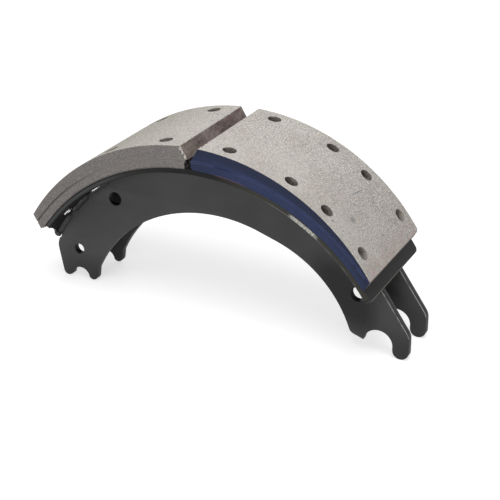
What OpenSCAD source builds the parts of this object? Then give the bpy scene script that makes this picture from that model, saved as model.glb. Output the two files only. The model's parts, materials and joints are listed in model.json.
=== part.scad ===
/* [Brake drum] */
// Inside diameter of the drum that the lining rubs on
drum_d = 419.1; // [410:0.1:430]
// Width of the shoe, both its table and its lining, along the axis of the drum
shoe_w = 127; // [118:1:140]

/* [Lining blocks] */
// Thickness of the lining in the middle of the shoe, where it is thickest
lining_mid_t = 21.8; // [20:0.1:24]
// Gap between the two blocks at the rubbing face
gap_w = 19.2; // [12:0.1:26]
// Gap between the two blocks at the table
gap_floor_w = 3.4; // [2:0.1:8]
// Angle from the gap's middle to the outer end of the cam block, degrees
cam_block_end = 57.3; // [54:0.1:58]
// Angle from the gap's middle to the outer end of the anchor block, degrees
anchor_block_end = 58.1; // [54:0.1:59]
// Bevel along the lower edge of each block's ends
block_bevel = 2.6; // [1:0.1:4]
// Height of the wear line above the table
wear_line_h = 8.4; // [7.5:0.1:9]
// Width of the wear line's groove
wear_line_w = 1.6; // [1:0.1:2.4]
// Depth of the wear line's groove
wear_line_depth = 0.8; // [0.4:0.1:1.5]
// Width of the piece broken off the cam block's corner in the gap
chip_w = 3.4; // [2:0.1:5]
// Height of the piece broken off
chip_h = 8.4; // [5:0.1:9]
// How far the broken corner reaches along the gap
chip_run = 13; // [6:0.5:20]

/* [Table] */
// Thickness of the table
table_t = 5; // [4:0.1:8]
// Radius of the table's outer face
table_r = 206.7; // [204:0.1:210]
// How far the centre of the table's arc lies towards the anchor end
table_shift = 3.2; // [1:0.1:4]
// Angle from the middle of the table to its cam end, degrees
table_cam_end = 61.1; // [60:0.1:62]
// Angle from the middle of the table to its anchor end, degrees
table_anchor_end = 58.1; // [57.5:0.1:60]
// Length along the table of the shallow scallop at each corner of the cam end
scallop_run = 27; // [20:0.5:32]
// Width that each scallop takes off the end
scallop_w = 35.3; // [28:0.1:36]
// Radius of the scallops
scallop_r = 110; // [60:1:200]
// Radius of each corner of the anchor end
corner_r = 6; // [2:0.5:12]
// Bevel along the long edges of the table
table_bevel = 0.6; // [0.2:0.1:1]

/* [Webs] */
// Thickness of each web
web_t = 8; // [6:0.1:10]
// Clear width between the two webs
web_gap = 40.4; // [36:0.1:46]
// Depth of the web below the table, in the middle of the shoe
web_depth = 52.4; // [48:0.1:56]
// Radius of the inner edge towards the cam end
cam_arch_r = 147.4; // [144:0.1:150]
// Radius of the inner edge towards the anchor end
anchor_arch_r = 122.6; // [120:0.1:126]
// Length of the straight run between the two inner arcs
arch_flat = 18.2; // [15:0.1:22]
// Angle at which the inner edge leaves the cam-end arc, degrees
arch_flat_angle = 19.8; // [17:0.1:22]
// How far the centre of the cam-end arc lies towards the anchor end
arch_shift = 4.1; // [3:0.1:5]
// Radius of the notch round the table's edge, at the cam end
notch_r = 4; // [2:0.1:6]
// Height of the lip that laps the table's edge, at the anchor end
lip_h = 0.6; // [0.2:0.1:2]
// Diameter of the two round holes high in the web
web_hole_d = 13.8; // [10:0.1:16]
// Depth of the hole on the cam side below the table
cam_hole_drop = 19.6; // [16:0.1:24]
// Angle from the middle of the table to the hole on the cam side, degrees
cam_hole_angle = 35.8; // [32:0.1:39]
// Depth of the hole on the anchor side below the table
anchor_hole_drop = 23.4; // [18:0.1:26]
// Angle from the middle of the table to the hole on the anchor side, degrees
anchor_hole_angle = 57.1; // [53:0.1:57.5]

/* [Cam end] */
// Distance of the roller's seat from the drum's centre, across the shoe
roller_seat_x = 148.9; // [146:0.1:151]
// Height of the roller's seat above the drum's centre
roller_seat_z = 35.6; // [33:0.1:38]
// Diameter of the roller's seat
roller_seat_d = 20.4; // [18:0.1:22]
// Radius of the outer finger's tip
cam_toe_r = 5.6; // [4.5:0.1:6.5]
// Height of the outer finger's tip centre above the seat's centre
cam_toe_rise = 4.9; // [4:0.1:5.5]
// Radius of the inner finger's tip
cam_finger_r = 5.1; // [4:0.1:5.5]
// Height of the inner finger's tip centre above the seat's centre
cam_finger_rise = 4.3; // [4:0.1:6]
// Angle from the middle of the inner arc to the inner finger's root, degrees
finger_root_angle = 63.6; // [62:0.1:65]
// Radius of the heel beside the spring hole
heel_r = 17; // [14:0.5:18]
// Distance from the spring hole's centre to the outer edge of the heel
heel_reach = 25.2; // [23:0.1:26]
// Diameter of the return spring's hole
spring_hole_d = 10.8; // [8:0.1:13]
// Height of the return spring's hole above the roller's seat
spring_hole_rise = 30.9; // [28:0.1:34]

/* [Anchor end] */
// Distance of the anchor pin's seat from the drum's centre, across the shoe
anchor_seat_x = 174; // [172:0.1:177]
// Height of the anchor pin's seat above the drum's centre
anchor_seat_z = 31; // [28:0.1:33]
// Diameter of the anchor pin's seat
anchor_seat_d = 28.6; // [26:0.1:31]
// Radius of the outer finger's tip
anchor_finger_r = 8; // [6:0.1:9]
// Depth of the outer finger's tip centre below the seat's centre
anchor_finger_drop = 3.1; // [2:0.1:6]
// Radius of the shoulder between the outer finger and the table
shoulder_r = 15; // [8:0.5:20]
// Height of the shoulder's centre above the seat's centre
shoulder_rise = 9; // [6:0.1:12]
// Radius of the inner finger's tip
anchor_toe_r = 3; // [2:0.1:4]
// Height of the inner finger's tip centre above the seat's centre
anchor_toe_rise = 5; // [4:0.1:7]
// Radius of the inner finger's back corner
anchor_back_r = 7.5; // [5:0.1:9]
// Angle from the middle of the inner arc to that corner, degrees
anchor_back_angle = 70.5; // [69:0.1:72]

/* [Welds] */
// Number of weld runs along each web
weld_count = 13; // [5:1:13]
// Length of each weld run, degrees
weld_span = 7.6; // [4:0.1:8.2]
// Leg of the weld's section
weld_leg = 4; // [3:0.1:6]

/* [Rivets] */
// Angles from the middle of the table to the four rivet rows of the cam block, degrees
cam_rows = [8.8, 24.4, 34.9, 47.8];
// Angles from the middle of the table to the four rivet rows of the anchor block, degrees
anchor_rows = [7.7, 24, 34.5, 47.3];
// Distance from each long edge of the table to the column of rivets beside it
column_inset = 15.5; // [11:0.5:20]
// Diameter of the counterbores in the lining
counterbore_d = 13.2; // [12.6:0.1:16]
// Thickness of lining that each rivet holds down
land_t = 5; // [4:0.1:6]
// Diameter of the rivet's shank
shank_d = 6.4; // [5:0.1:7.5]
// Clearance between a shank and its hole, on the diameter
shank_clearance = 0.3; // [0.1:0.05:0.5]
// Diameter of the rivet's head
head_d = 12.2; // [10:0.1:12.5]
// Thickness of the rivet's head
head_t = 1.9; // [1.4:0.1:2.4]
// Diameter of the rolled tail under the table
tail_d = 10; // [9:0.1:12]
// Thickness of the rolled tail
tail_t = 3.2; // [1.5:0.1:4]
// Diameter of the hollow in the shank's end
hollow_d = 4.2; // [3:0.1:4.5]
// Depth of the hollow in the shank's end
hollow_depth = 8; // [4:0.5:10]
// Clearance between the rolled tail and the curved table
tail_clearance = 0.1; // [0.08:0.01:0.2]

/* [Hidden] */
// A round edge in an outline turns by this many degrees from point to point
arc_step = 6;
// Extra length that a cutting shape reaches past the face it cuts
past = 1;
$fn = 96;

drum_r = drum_d / 2;
// Height of the table's outer face in the middle of the shoe
table_top = drum_r - lining_mid_t;
table_centre = [table_shift, table_top - table_r];
under_r = table_r - table_t;
web_outer_y = web_gap / 2 + web_t;
column_y = shoe_w / 2 - column_inset;

cam_arch_centre = [arch_shift, table_top - table_t - web_depth - cam_arch_r];
anchor_arch_centre = cam_arch_centre
    + (cam_arch_r - anchor_arch_r) * heading(arch_flat_angle)
    + arch_flat * heading(arch_flat_angle + 90);

// Outlines are drawn in the drum's frame: across the shoe, then up from the drum's centre
roller_seat = [-roller_seat_x, roller_seat_z];
roller_seat_r = roller_seat_d / 2;
spring_hole = roller_seat + [0, spring_hole_rise];
anchor_seat = [anchor_seat_x, anchor_seat_z];
anchor_seat_r = anchor_seat_d / 2;

// Between two fingers the outline dips to a point inside the seat, whose true circle is cut afterwards
dip = 0.8;
// The anchor end's outer finger starts at the side of its seat, just inside the true circle
edge_share = 0.985;
// The tip's centre of each cam-end finger stands off the seat's side by this share of the tip's radius
tip_share = 0.85;

cam_toe = roller_seat + [-roller_seat_r - tip_share * cam_toe_r, cam_toe_rise];
cam_finger = roller_seat + [roller_seat_r + tip_share * cam_finger_r, cam_finger_rise];
heel = spring_hole + [heel_r - heel_reach, 0];
anchor_finger = anchor_seat + [anchor_seat_r + anchor_finger_r, -anchor_finger_drop];
shoulder = [anchor_finger.x + anchor_finger_r - shoulder_r, anchor_seat.y + shoulder_rise];
anchor_toe = anchor_seat + [-anchor_seat_r, anchor_toe_rise];
// The back corner's round leaves the inner arc without a break
back_touch = anchor_arch_centre + anchor_arch_r * heading(anchor_back_angle);
anchor_back = back_touch + anchor_back_r * heading(anchor_back_angle);
arch_end = atan2(back_touch.x - table_centre.x, back_touch.y - table_centre.y);

// The shoe stands on the tip of the cam end's outer finger and the tip of the anchor end's
foot_run = anchor_finger - cam_toe;
rest_tilt = asin((anchor_finger_r - cam_toe_r) / norm(foot_run)) - atan2(foot_run.y, foot_run.x);

// The first weld starts where the notch ends, and the last ends with the table
first_weld = 2 * asin(notch_r / 2 / under_r) - table_cam_end;
weld_pitch = (table_anchor_end - first_weld - weld_span) / (weld_count - 1);
weld_starts = [for (i = [0:weld_count - 1]) first_weld + i * weld_pitch];

steel = "#3d3d3e";
face_grey = "#bcb7b1";
side_blue = "#2d3458";
bright = "#c9ccd0";

// Each rivet's name, its angle from the middle of the table and its place along the axis
RIVETS = [
    for (end = [-1, 1]) for (row = [0:len(rows_of(end)) - 1]) for (side = [-1, 1])
        [
            str(end < 0 ? "cam" : "anchor", "_rivet_", row + 1, side < 0 ? "_front" : "_rear"),
            end * rows_of(end)[row],
            side * column_y
        ]
];

// Direction in the outline plane at an angle from straight up, towards the anchor end
function heading(angle) = [sin(angle), cos(angle)];

// Rivet rows of the cam block (end = -1) or the anchor block (end = 1)
function rows_of(end) = end < 0 ? cam_rows : anchor_rows;

// A point in the table's own polar frame: its angle from the middle and its radius
function on_table(angle, radius) = table_centre + radius * heading(angle);

// Direction of the outward normal of the straight line that leaves one round and meets the next
function line_normal(from, to) =
    let (run = [to.x - from.x, to.y - from.y])
    atan2(run.y, run.x) - acos((from.z - to.z) / norm(run));

// Outline laid round circles given as [across, up, radius], anticlockwise
function belt(rounds) =
    let (count = len(rounds))
    [
        for (i = [0:count - 1])
            let (
                here = rounds[i],
                first = line_normal(rounds[(i + count - 1) % count], here),
                last = line_normal(here, rounds[(i + 1) % count]),
                // Where two lines run straight on, the change of angle stays near zero and not near 360
                turn = here.z > 0 ? (last - first + 721) % 360 - 1 : 0,
                steps = ceil(turn / arc_step)
            )
            for (k = [0:steps])
                let (angle = first + turn * k / max(steps, 1))
                [here.x + here.z * cos(angle), here.y + here.z * sin(angle)]
    ];

function round_at(centre, radius = 0) = [centre.x, centre.y, radius];

// Stands an outline up in the shoe's side plane, centred on the given place along the axis
module side_plate(thickness, y = 0) {
    translate([0, y, 0])
        rotate([90, 0, 0])
            linear_extrude(thickness, center = true)
                children();
}

// Turns a section about the axis of the table's arc, between two angles from the middle
module along_table(from, to) {
    translate([table_centre.x, 0, table_centre.y])
        rotate([90, 0, 0])
            rotate([0, 0, 90 - to])
                rotate_extrude(angle = to - from, $fn = 256)
                    children();
}

// Puts a shape on the table's outer face, with its own up axis along the radius
module at_table(angle, y = 0) {
    translate([table_centre.x, 0, table_centre.y])
        rotate([0, angle, 0])
            translate([0, y, table_r])
                children();
}

// Moves the drum's frame to the part's: origin on the anchor pin's axis, standing level
module placed() {
    rotate([0, -rest_tilt, 0])
        translate([-anchor_seat.x, 0, -anchor_seat.y])
            children();
}

module at_rivets(ends = [-1, 1]) {
    for (end = ends)
        for (row = rows_of(end), side = [-1, 1])
            at_table(end * row, side * column_y)
                children();
}

// Wedge from the table's centre between two angles, longer than the part
module wedge(from, to) {
    middle = (from + to) / 2;
    polygon([
        table_centre,
        on_table(from, 2 * table_r),
        on_table(middle, 2 * table_r),
        on_table(to, 2 * table_r)
    ]);
}

module table() {
    color(steel)
        difference() {
            along_table(-table_cam_end, table_anchor_end)
                table_section();
            for (side = [-1, 1]) {
                at_table(-table_cam_end, side * shoe_w / 2)
                    scallop(side);
                at_table(table_anchor_end, side * shoe_w / 2)
                    corner_cut(side);
            }
            at_rivets()
                translate([0, 0, -table_t - past])
                    cylinder(d = shank_d + shank_clearance, h = table_t + 2 * past);
        }
}

module table_section() {
    half = shoe_w / 2;
    b = table_bevel;
    polygon([
        [under_r, b - half],
        [under_r + b, -half],
        [table_r - b, -half],
        [table_r, b - half],
        [table_r, half - b],
        [table_r - b, half],
        [under_r + b, half],
        [under_r, half - b]
    ]);
}

// A shallow round cut across a square corner, between a point on each of its edges
module scallop(side) {
    chord = norm([scallop_run, scallop_w]);
    out = sqrt(scallop_r * scallop_r - chord * chord / 4) / chord;
    translate([
        scallop_run / 2 - out * scallop_w,
        side * (out * scallop_run - scallop_w / 2),
        -2 * table_t
    ])
        cylinder(r = scallop_r, h = 2 * table_t + past, $fn = 256);
}

// What is taken off a square corner to round it
module corner_cut(side) {
    reach = corner_r + past;
    translate([-corner_r, -side * corner_r, -table_t - past])
        difference() {
            translate([0, side < 0 ? -reach : 0, 0])
                cube([reach, reach, table_t + 2 * past]);
            cylinder(r = corner_r, h = table_t + 2 * past);
        }
}

module web_outline() {
    difference() {
        union() {
            difference() {
                arch();
                arch_opening();
            }
            polygon(belt([
                round_at(heel, heel_r),
                round_at(cam_toe, cam_toe_r),
                round_at(roller_seat + [0, dip * roller_seat_r]),
                round_at(cam_finger, cam_finger_r),
                round_at(cam_arch_centre + cam_arch_r * heading(-finger_root_angle)),
                round_at(cam_arch_centre + cam_arch_r * heading(-table_cam_end))
            ]));
            polygon(belt([
                round_at(on_table(table_anchor_end, under_r + lip_h)),
                round_at(on_table(table_anchor_end, under_r)),
                round_at(anchor_back, anchor_back_r),
                round_at(anchor_toe, anchor_toe_r),
                round_at(anchor_seat + [0, dip * anchor_seat_r]),
                round_at(anchor_seat + [edge_share * anchor_seat_r, 0]),
                round_at(anchor_finger, anchor_finger_r),
                round_at(shoulder, shoulder_r)
            ]));
        }
        translate(on_table(-table_cam_end, under_r))
            circle(r = notch_r);
        translate(roller_seat)
            circle(r = roller_seat_r);
        translate(anchor_seat)
            circle(r = anchor_seat_r);
        translate(spring_hole)
            circle(d = spring_hole_d);
        translate(on_table(-cam_hole_angle, under_r - cam_hole_drop))
            circle(d = web_hole_d);
        translate(on_table(anchor_hole_angle, under_r - anchor_hole_drop))
            circle(d = web_hole_d);
    }
}

// The part of the web that follows the table
module arch() {
    intersection() {
        translate(table_centre)
            circle(r = under_r, $fn = 256);
        wedge(-table_cam_end, arch_end);
    }
}

module arch_opening() {
    flat_side = heading(arch_flat_angle);
    translate(cam_arch_centre)
        circle(r = cam_arch_r, $fn = 256);
    translate(anchor_arch_centre)
        circle(r = anchor_arch_r, $fn = 256);
    polygon([
        cam_arch_centre,
        cam_arch_centre + cam_arch_r * flat_side,
        anchor_arch_centre + anchor_arch_r * flat_side,
        anchor_arch_centre
    ]);
}

module web(side) {
    color(steel)
        side_plate(web_t, side * (web_outer_y - web_t / 2))
            web_outline();
}

module welds(side) {
    color(steel)
        for (start = weld_starts)
            along_table(start, start + weld_span)
                weld_section(side);
}

// The turned section's second axis runs from the rear of the shoe to its front
module weld_section(side) {
    polygon([
        [under_r, -side * web_outer_y],
        [under_r, -side * (web_outer_y + weld_leg)],
        [under_r - 0.6 * weld_leg, -side * (web_outer_y + 0.6 * weld_leg)],
        [under_r - weld_leg, -side * web_outer_y]
    ]);
}

// One block of lining on the cam side (end = -1) or the anchor side (end = 1)
module lining(end) {
    outer_end = end < 0 ? cam_block_end : anchor_block_end;
    inner_end = asin(gap_w / 2 / drum_r);
    lean = end * (outer_end + inner_end) / 2;
    half_length = drum_r * sin((outer_end - inner_end) / 2);
    difference() {
        side_plate(shoe_w)
            difference() {
                circle(r = drum_r, $fn = 256);
                translate(table_centre)
                    circle(r = table_r, $fn = 256);
                block_trim(end, lean, half_length);
            }
        for (side = [-1, 1])
            side_plate(2 * wear_line_depth, side * shoe_w / 2)
                wear_line();
        at_rivets([end]) {
            translate([0, 0, land_t])
                cylinder(d = counterbore_d, h = 2 * lining_mid_t);
            translate([0, 0, -past])
                cylinder(d = shank_d + shank_clearance, h = land_t + 2 * past);
        }
    }
}

// Everything round a block that isn't the block: its ends are parallel to its own middle
module block_trim(end, lean, half_length) {
    big = 3 * drum_r;
    rotate([0, 0, -lean])
        for (side = [-1, 1])
            translate([side > 0 ? half_length : -half_length - big, -big / 2])
                square([big, big]);
    translate([end > 0 ? gap_floor_w / 2 - big : -gap_floor_w / 2, -big / 2])
        square([big, big]);
    translate([-big / 2, -big])
        square([big, big]);
    // The lower edges of both ends are bevelled
    centre = [
        table_centre.x * cos(lean) - table_centre.y * sin(lean),
        table_centre.x * sin(lean) + table_centre.y * cos(lean)
    ];
    reach = end * half_length - centre.x;
    rotate([0, 0, -lean])
        translate([end * half_length, centre.y + sqrt(table_r * table_r - reach * reach)])
            edge_bevel();
    floor_x = end * gap_floor_w / 2;
    floor_reach = floor_x - table_centre.x;
    translate([floor_x, table_centre.y + sqrt(table_r * table_r - floor_reach * floor_reach)])
        edge_bevel();
}

module edge_bevel() {
    rotate([0, 0, 45])
        square(sqrt(2) * block_bevel, center = true);
}

module wear_line() {
    middle = table_r + wear_line_h;
    translate(table_centre)
        difference() {
            circle(r = middle + wear_line_w / 2, $fn = 256);
            circle(r = middle - wear_line_w / 2, $fn = 256);
        }
}

module cam_lining() {
    color(face_grey)
        difference() {
            lining(-1);
            chipped_corner();
        }
}

module anchor_lining() {
    color(side_blue)
        lining(1);
}

// A corner broken off in the gap, at the front face just above the table
module chipped_corner() {
    floor_x = gap_floor_w / 2;
    side_plate(2 * chip_run, -shoe_w / 2)
        polygon([
            [past - floor_x, table_top - past],
            [past - floor_x, table_top + chip_h + past],
            [-floor_x - 0.4 * chip_w, table_top + chip_h],
            [-floor_x - chip_w, table_top + 0.8 * chip_h],
            [-floor_x - chip_w, table_top - past]
        ]);
}

// A tubular rivet: its head in the counterbore and its tail rolled over under the table
module rivet() {
    head_top = land_t + head_t;
    tail_top = -table_t - tail_clearance;
    tail_end = tail_top - tail_t;
    edge = head_t / 3;
    roll = tail_t / 3;
    color(bright)
        rotate_extrude()
            polygon([
                [0, head_top],
                [head_d / 2 - edge, head_top],
                [head_d / 2, head_top - edge],
                [head_d / 2, land_t],
                [shank_d / 2, land_t],
                [shank_d / 2, tail_top],
                [tail_d / 2 - roll, tail_top],
                [tail_d / 2, tail_top - roll],
                [tail_d / 2, tail_end + roll],
                [tail_d / 2 - roll, tail_end],
                [hollow_d / 2 + roll, tail_end],
                [hollow_d / 2, tail_end + roll],
                [hollow_d / 2, tail_end + hollow_depth],
                [0, tail_end + hollow_depth]
            ]);
}

placed() table();
placed() web(-1);  // front_web
placed() web(1);  // rear_web
placed() welds(-1);  // front_web_welds
placed() welds(1);  // rear_web_welds
placed() cam_lining();
placed() anchor_lining();
for (r = RIVETS)
    placed() at_table(r[1], r[2]) rivet();
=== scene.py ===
import json
import math
import random

import bmesh
import bpy
from mathutils import Euler, Matrix, Vector


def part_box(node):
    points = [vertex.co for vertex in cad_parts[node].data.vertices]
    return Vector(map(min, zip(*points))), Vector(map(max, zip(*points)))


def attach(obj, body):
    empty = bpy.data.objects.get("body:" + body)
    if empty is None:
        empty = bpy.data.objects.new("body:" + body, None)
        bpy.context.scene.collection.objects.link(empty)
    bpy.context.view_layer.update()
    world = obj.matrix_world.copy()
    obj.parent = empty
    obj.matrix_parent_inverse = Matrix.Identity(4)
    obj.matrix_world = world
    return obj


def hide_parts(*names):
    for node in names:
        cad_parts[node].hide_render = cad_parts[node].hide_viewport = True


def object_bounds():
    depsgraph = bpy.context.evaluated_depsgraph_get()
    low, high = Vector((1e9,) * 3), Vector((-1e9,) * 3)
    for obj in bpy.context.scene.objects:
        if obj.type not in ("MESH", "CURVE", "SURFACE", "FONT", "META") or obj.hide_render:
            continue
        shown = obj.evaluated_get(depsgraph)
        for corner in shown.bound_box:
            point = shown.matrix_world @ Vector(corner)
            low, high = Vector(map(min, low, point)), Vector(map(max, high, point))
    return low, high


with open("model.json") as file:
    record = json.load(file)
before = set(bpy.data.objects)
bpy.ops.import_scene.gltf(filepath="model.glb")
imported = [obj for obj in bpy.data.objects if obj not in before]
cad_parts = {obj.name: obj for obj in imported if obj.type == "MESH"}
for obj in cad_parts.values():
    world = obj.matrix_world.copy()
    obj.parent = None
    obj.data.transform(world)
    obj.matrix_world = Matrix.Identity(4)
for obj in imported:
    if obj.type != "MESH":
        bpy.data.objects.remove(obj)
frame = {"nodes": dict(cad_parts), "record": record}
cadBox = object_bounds()
print("frame loaded:", len(frame["nodes"]), "nodes")

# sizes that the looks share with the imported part, in metres and degrees
shoe = {
    "drumAxis": (-0.172559, -0.038215),  # across and up, in the part's own frame
    "drumRadius": 0.20955,
    "tableAxis": (-0.168573, -0.057015),
    "tableRadius": 0.2067,
    "tableThickness": 0.005,
    "restTilt": 2.3852,  # the part is turned by this from the drum's own upright
    "sideFace": 0.0635,
    "webOuter": 0.0282,
}
tilt = math.radians(shoe["restTilt"])


def fromDrum(across, along, up):  # from the drum's upright frame, centred on its axis, to the part's
    return Vector((
        shoe["drumAxis"][0] + across * math.cos(tilt) - up * math.sin(tilt),
        along,
        shoe["drumAxis"][1] + across * math.sin(tilt) + up * math.cos(tilt),
    ))


def tone(code):  # a colour written as on a screen, turned into the renderer's own scale
    parts = [int(code[k:k + 2], 16) / 255 for k in (1, 3, 5)]
    return tuple(p / 12.92 if p <= 0.04045 else ((p + 0.055) / 1.055) ** 2.4 for p in parts) + (1.0,)


class Wire:  # one socket's value, which can be written into sums
    def __init__(self, finish, socket):
        self.finish = finish
        self.socket = socket

    def __add__(self, other):
        return self.finish.sum("ADD", self, other)

    def __sub__(self, other):
        return self.finish.sum("SUBTRACT", self, other)

    def __rsub__(self, other):
        return self.finish.sum("SUBTRACT", other, self)

    def __mul__(self, other):
        return self.finish.sum("MULTIPLY", self, other)

    def __pow__(self, other):
        return self.finish.sum("POWER", self, other)

    __radd__ = __add__
    __rmul__ = __mul__


class Finish:  # one material, with short calls for the nodes that its looks need
    def __init__(self, name, **constants):
        self.material = bpy.data.materials.new(name)
        self.material.use_nodes = True
        self.tree = self.material.node_tree
        self.shader = self.tree.nodes["Principled BSDF"]
        for key, value in constants.items():
            self.shader.inputs[key.replace("_", " ")].default_value = value
        self.spot = self.node("ShaderNodeTexCoord", out="Object")
        places = self.node("ShaderNodeSeparateXYZ", values={"Vector": self.spot}).socket.node.outputs
        self.across, self.along, self.up = (Wire(self, places[axis]) for axis in "XYZ")

    def node(self, kind, settings=None, values=None, out=0):  # the settings come before the sockets
        made = self.tree.nodes.new(kind)
        for key, value in (settings or {}).items():
            setattr(made, key, value)
        for key, value in (values or {}).items():
            self.feed(made.inputs[key], value)
        return Wire(self, made.outputs[out])

    def feed(self, socket, value):
        if isinstance(value, Wire):
            self.tree.links.new(value.socket, socket)
        else:
            socket.default_value = value

    def sum(self, operation, first, second):
        return self.node("ShaderNodeMath", {"operation": operation}, {0: first, 1: second})

    def most(self, first, second):
        return self.sum("MAXIMUM", first, second)

    def size(self, value):
        return self.sum("ABSOLUTE", value, 0.0)

    def rise(self, value, low, high):  # 0 below low, 1 above high, smooth between
        span = {"Value": value, "From Min": low, "From Max": high}
        return self.node("ShaderNodeMapRange", {"interpolation_type": "SMOOTHSTEP"}, span)

    def band(self, value, low, high, soft):  # 1 between low and high
        return self.rise(value, low - soft, low + soft) * (1 - self.rise(value, high - soft, high + soft))

    def blend(self, first, second, share):
        values = {0: share, 6: first, 7: second}
        return self.node("ShaderNodeMix", {"data_type": "RGBA"}, values, 2)

    def cover(self, base, code, share):  # one more tone laid over the base
        return self.blend(base, tone(code), share)

    def noise(self, scale, detail=2.0, roughness=0.5, place=None):
        values = {"Vector": place or self.spot, "Scale": scale, "Detail": detail, "Roughness": roughness}
        return self.node("ShaderNodeTexNoise", {"noise_dimensions": "3D"}, values, "Fac")

    def fromAxis(self, axis):  # distance from an axis that runs along Y
        sideways = self.across - axis[0]
        height = self.up - axis[1]
        return (sideways * sideways + height * height) ** 0.5

    def turned(self, axis):  # degrees from the shoe's own upright, towards the anchor end
        angle = self.sum("ARCTAN2", self.across - axis[0], self.up - axis[1])
        return angle * (180 / math.pi) + shoe["restTilt"]

    def upright(self, axis):  # across and up from an axis, in the drum's own upright frame
        across, up = self.across - axis[0], self.up - axis[1]
        return across * math.cos(tilt) + up * math.sin(tilt), up * math.cos(tilt) - across * math.sin(tilt)

    def patch(self, first, second, middle, reach, lean=0.0, ragged=0.0, soft=0.5):  # 1 inside a leaning oval
        a, b = first - middle[0], second - middle[1]
        turn = math.radians(lean)
        along = (a * math.cos(turn) + b * math.sin(turn)) * (1 / reach[0])
        aside = (b * math.cos(turn) - a * math.sin(turn)) * (1 / reach[1])
        far = (along * along + aside * aside) ** 0.5
        if ragged:
            far = far + (self.noise(500.0, 3.0, 0.7) - 0.5) * ragged
        return 1 - self.rise(far, 1 - soft, 1 + soft)

    def streaks(self, angle, height, length, fineness):  # noise drawn out along the arc
        values = {0: angle * length * 10, 1: height * fineness, 2: self.along * 20}
        return self.noise(1.0, 3.0, 0.6, self.node("ShaderNodeCombineXYZ", None, values))

    def bump(self, height, depth, strength=1.0):
        values = {"Height": height, "Distance": depth, "Strength": strength}
        self.feed(self.shader.inputs["Normal"], self.node("ShaderNodeBump", None, values))

    def colour(self, value):
        self.feed(self.shader.inputs["Base Color"], value)

    def rough(self, value):
        self.feed(self.shader.inputs["Roughness"], value)


def dress(names, material):
    for name in names:
        slots = frame["nodes"][name].data.materials
        slots.clear()
        slots.append(material)


# how every mesh is closed and shaded
making = {
    "merge": 1e-6,  # points that lie nearer than this become one
    "sharp": 28,  # an edge that turns by more degrees than this stays sharp
}


def inScene(name, data):
    thing = bpy.data.objects.new(name, data)
    bpy.context.scene.collection.objects.link(thing)
    return thing


def meshOf(work, name):
    mesh = bpy.data.meshes.new(name)
    work.to_mesh(mesh)
    work.free()
    return mesh


def meshFrom(source, name):  # the source with its modifiers applied, as a plain mesh
    bpy.context.view_layer.update()
    seen = source.evaluated_get(bpy.context.evaluated_depsgraph_get())
    piece = inScene(name, bpy.data.meshes.new_from_object(seen))
    bpy.data.objects.remove(source)
    return piece


def mergePoints(mesh, turnOutwards=False):
    work = bmesh.new()
    work.from_mesh(mesh)
    bmesh.ops.remove_doubles(work, verts=work.verts, dist=making["merge"])
    if turnOutwards:
        bmesh.ops.recalc_face_normals(work, faces=work.faces)
    work.to_mesh(mesh)
    work.free()


def finishPiece(piece, material, *nodes):
    mesh = piece.data
    mergePoints(mesh, turnOutwards=True)
    mesh.shade_smooth()
    mesh.set_sharp_from_angle(angle=math.radians(making["sharp"]))
    mesh.materials.clear()
    mesh.materials.append(material)
    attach(piece, "root")
    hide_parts(*nodes)
    return piece


# the paint that the webs, the table and the welds share
paint = {
    "gloss": 0.22,
    "roughness": 0.42,
    "roughnessSpread": 0.14,
    "cloudScale": 14.0,
    "grainScale": 900.0,
    "grainTone": "#242425",
    "grainShare": 0.4,
    "grainDepth": 0.00004,
}


def paintedSteel(name, low, high, gloss=paint["gloss"]):
    look = Finish(name, Specular_IOR_Level=gloss)
    cloud = look.noise(paint["cloudScale"])
    grain = look.noise(paint["grainScale"], 3.0)
    base = look.blend(tone(low), tone(high), look.rise(cloud, 0.35, 0.68))
    base = look.cover(base, paint["grainTone"], look.rise(grain, 0.6, 0.8) * paint["grainShare"])
    look.rough(paint["roughness"] + paint["roughnessSpread"] * look.noise(60.0, 3.0))
    look.bump(grain, paint["grainDepth"], 0.6)
    return look, base


# the webs: flat plates cut from sheet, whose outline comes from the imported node, with their edges eased
plate = {
    "edge": 0.0009,
    "steps": 2,
    "easedSlope": (0.15, 0.97),  # how far an eased edge's normal leans towards Y, least and most
    "litSlope": 0.2,  # an eased edge that looks up by more than this gets the painted highlight
    "seatMargin": 0.002,
    "low": "#3c3c3d",
    "high": "#464647",
    "pale": "#4c4c4d",
    # the tone of the painted shade beside the anchor end's hole and on the fingers
    "shade": "#151516",
    # painted shade on the cut edges, in this tone and the next; the first also darkens the anchor side
    "cut": "#131314",
    "cutLight": "#1b1b1c",
    # the tone of the painted highlight on the eased corners that face the light
    "corner": "#9a9a98",
    "anchorSide": (-14.0, 12.0),  # degrees from the middle, where the pale cam side turns darker
    "paleShare": 0.32,
    # painted light near the table's underside, where its overhang shades the web
    "underTableLightShare": 0.5,
    "top": (0.178, 0.2),  # metres from the table's axis
    "anchorSideShare": 0.14,
    "shadePlace": (-0.036, 0.043),  # painted shade beside the anchor end's hole, darker and smoother
    "shadeReach": (0.040, 0.020),
    "shadeLean": -45,
    "shadeShare": 0.9,
    # painted shade on the fingers at both ends, darker towards the bottom
    "anchorFingerShade": {"across": (-0.03, 0.025), "up": (-0.005, 0.045), "along": (-0.01, 0.01), "share": 0.62},
    "camFingerShade": {"across": (-0.27, -0.25), "up": (-0.008, 0.032), "share": 0.43},
    "camInner": {"across": (-0.345, -0.32), "share": 0.29},  # added on the inner finger
    # where the painted highlight on the eased corners grows stronger, and how strong it is
    "cornerAngles": (40.0, 56.0),
    "cornerShares": (0.1, 0.7),  # everywhere, and added at the anchor end
}


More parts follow.
